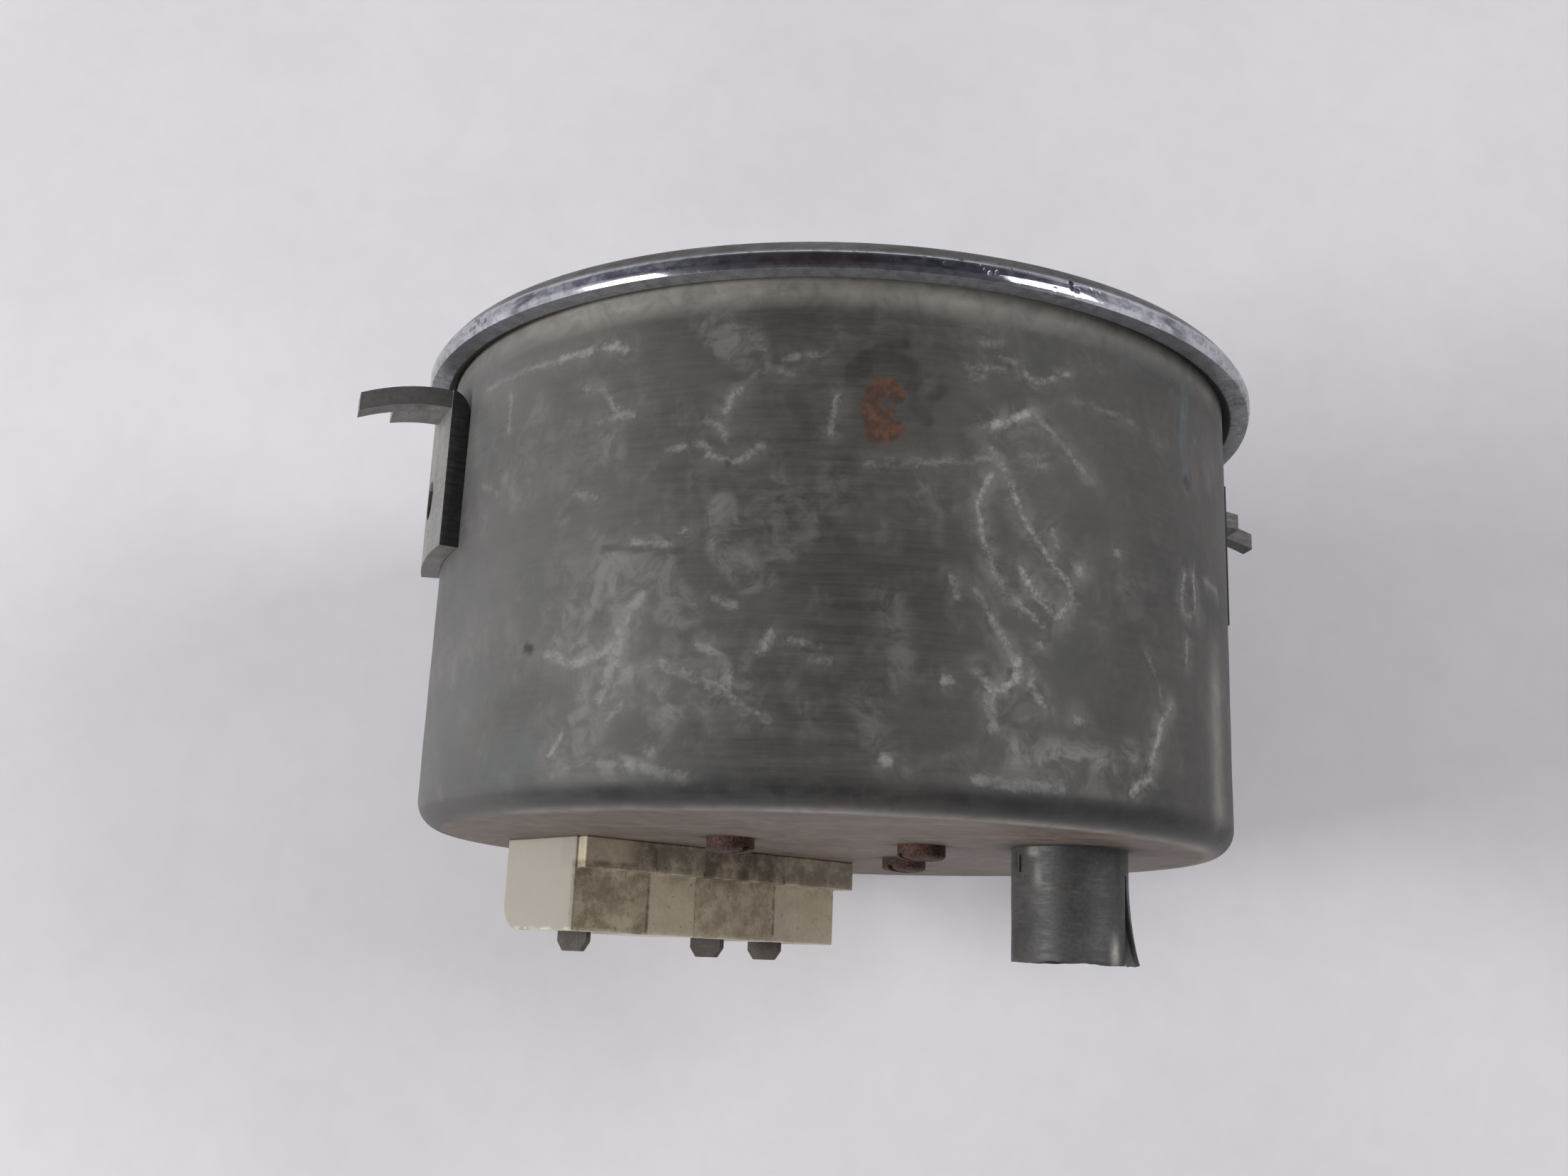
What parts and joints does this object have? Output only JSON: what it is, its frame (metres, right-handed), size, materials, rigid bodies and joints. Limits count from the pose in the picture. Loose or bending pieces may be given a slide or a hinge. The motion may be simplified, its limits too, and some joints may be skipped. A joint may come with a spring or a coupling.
{
  "type": "electric tachometer",
  "caption": "Round dashboard tachometer in a drawn metal can, with a chrome bezel, riveted side brackets, a moulded blade connector and a lamp tube on its back.",
  "frame": {"origin": "On the instrument's axis, in the plane of the bezel's rear edge, which seats on the panel.", "axes": "+Y points out of the back, where the connector and the lamp tube are; the dial faces -Y; +Z is 12 o'clock; +X is the side of the connector's high end."},
  "size_m": [0.1175, 0.073, 0.1068],
  "materials": {
    "can_paint": "dull grey plated and painted steel, scuffed and stained",
    "chrome": "pitted chrome plate",
    "glass": "clear flat glass",
    "rubber": "black rubber",
    "black_plastic": "black moulded plastic",
    "dial_black": "matt black paint with plain white marks",
    "screw_steel": "plain steel",
    "brass": "turned brass",
    "pointer_paint": "orange-red paint",
    "bright_steel": "bright steel",
    "magnet": "dark ferrite",
    "bronze": "phosphor bronze strip",
    "aluminium": "stamped aluminium",
    "ivory_plastic": "natural moulded plastic",
    "copper_wire": "enamelled copper wire",
    "tinned_metal": "tinned wire",
    "board": "brown laminate",
    "capacitor_sleeve": "blue sleeve",
    "film_red": "dipped red-brown resin",
    "resistor_tan": "tan lacquer",
    "trimmer_blue": "blue moulded plastic",
    "connector_plastic": "aged off-white moulded plastic, dirty",
    "blade_metal": "tarnished tinned brass",
    "tube_steel": "grey plated sheet steel",
    "bracket_steel": "grey plated sheet steel with dark cut edges",
    "rusty_steel": "rusty steel"
  },
  "bodies": {
    "case": {"can": "can_paint", "bezel": "chrome", "glass": "glass", "glass_gasket": "rubber", "visor_ring": "black_plastic", "dial_plate": "dial_black", "dial_screws": "screw_steel", "pointer_stops": "brass", "hairspring": "bronze", "hairspring_peg": "brass", "front_plate": "aluminium", "dial_pillars": "brass", "rear_plate": "aluminium", "frame_posts": "brass", "shield_cup": "bright_steel", "bobbin_front": "ivory_plastic", "bobbin_rear": "ivory_plastic", "front_bearing": "brass", "rear_bearing": "brass", "inner_coil": "copper_wire", "outer_coil": "copper_wire", "coil_pins": "tinned_metal", "carrier_screws": "screw_steel", "board_spacers": "brass", "circuit_board": "board", "back_pillars": "brass", "back_screws": "rusty_steel", "electrolytic_capacitors": "capacitor_sleeve", "film_capacitor": "film_red", "resistors": "resistor_tan", "transistors": "black_plastic", "integrated_circuit": "black_plastic", "trimmer_body": "trimmer_blue", "connector_housing": "connector_plastic", "blade_supply": "blade_metal", "blade_ground": "blade_metal", "blade_signal": "blade_metal", "lamp_tube": "tube_steel", "bracket_left": "bracket_steel", "bracket_right": "bracket_steel", "bracket_rivets": "rusty_steel"},
    "pointer_shaft": {"pointer": "pointer_paint", "pointer_hub": "black_plastic", "balance_weight": "brass", "spindle": "bright_steel", "rotor_magnet": "magnet", "hairspring_collet": "brass"},
    "trimmer": {"trimmer_rotor": "ivory_plastic"}
  },
  "joints": [
    {"name": "pointer_turn", "type": "hinge", "parent": "case", "child": "pointer_shaft", "pos_m": [0, 0.0026, 0], "axis": [0, 1, 0], "range_deg": [0, 240], "stiffness_Nm_per_rad": 0.00004, "springref_deg": -22.92},
    {"name": "trimmer_turn", "type": "hinge", "parent": "case", "child": "trimmer", "pos_m": [0.018, 0.0436, 0.024], "axis": [0, 1, 0], "range_deg": [-130, 130]}
  ]
}
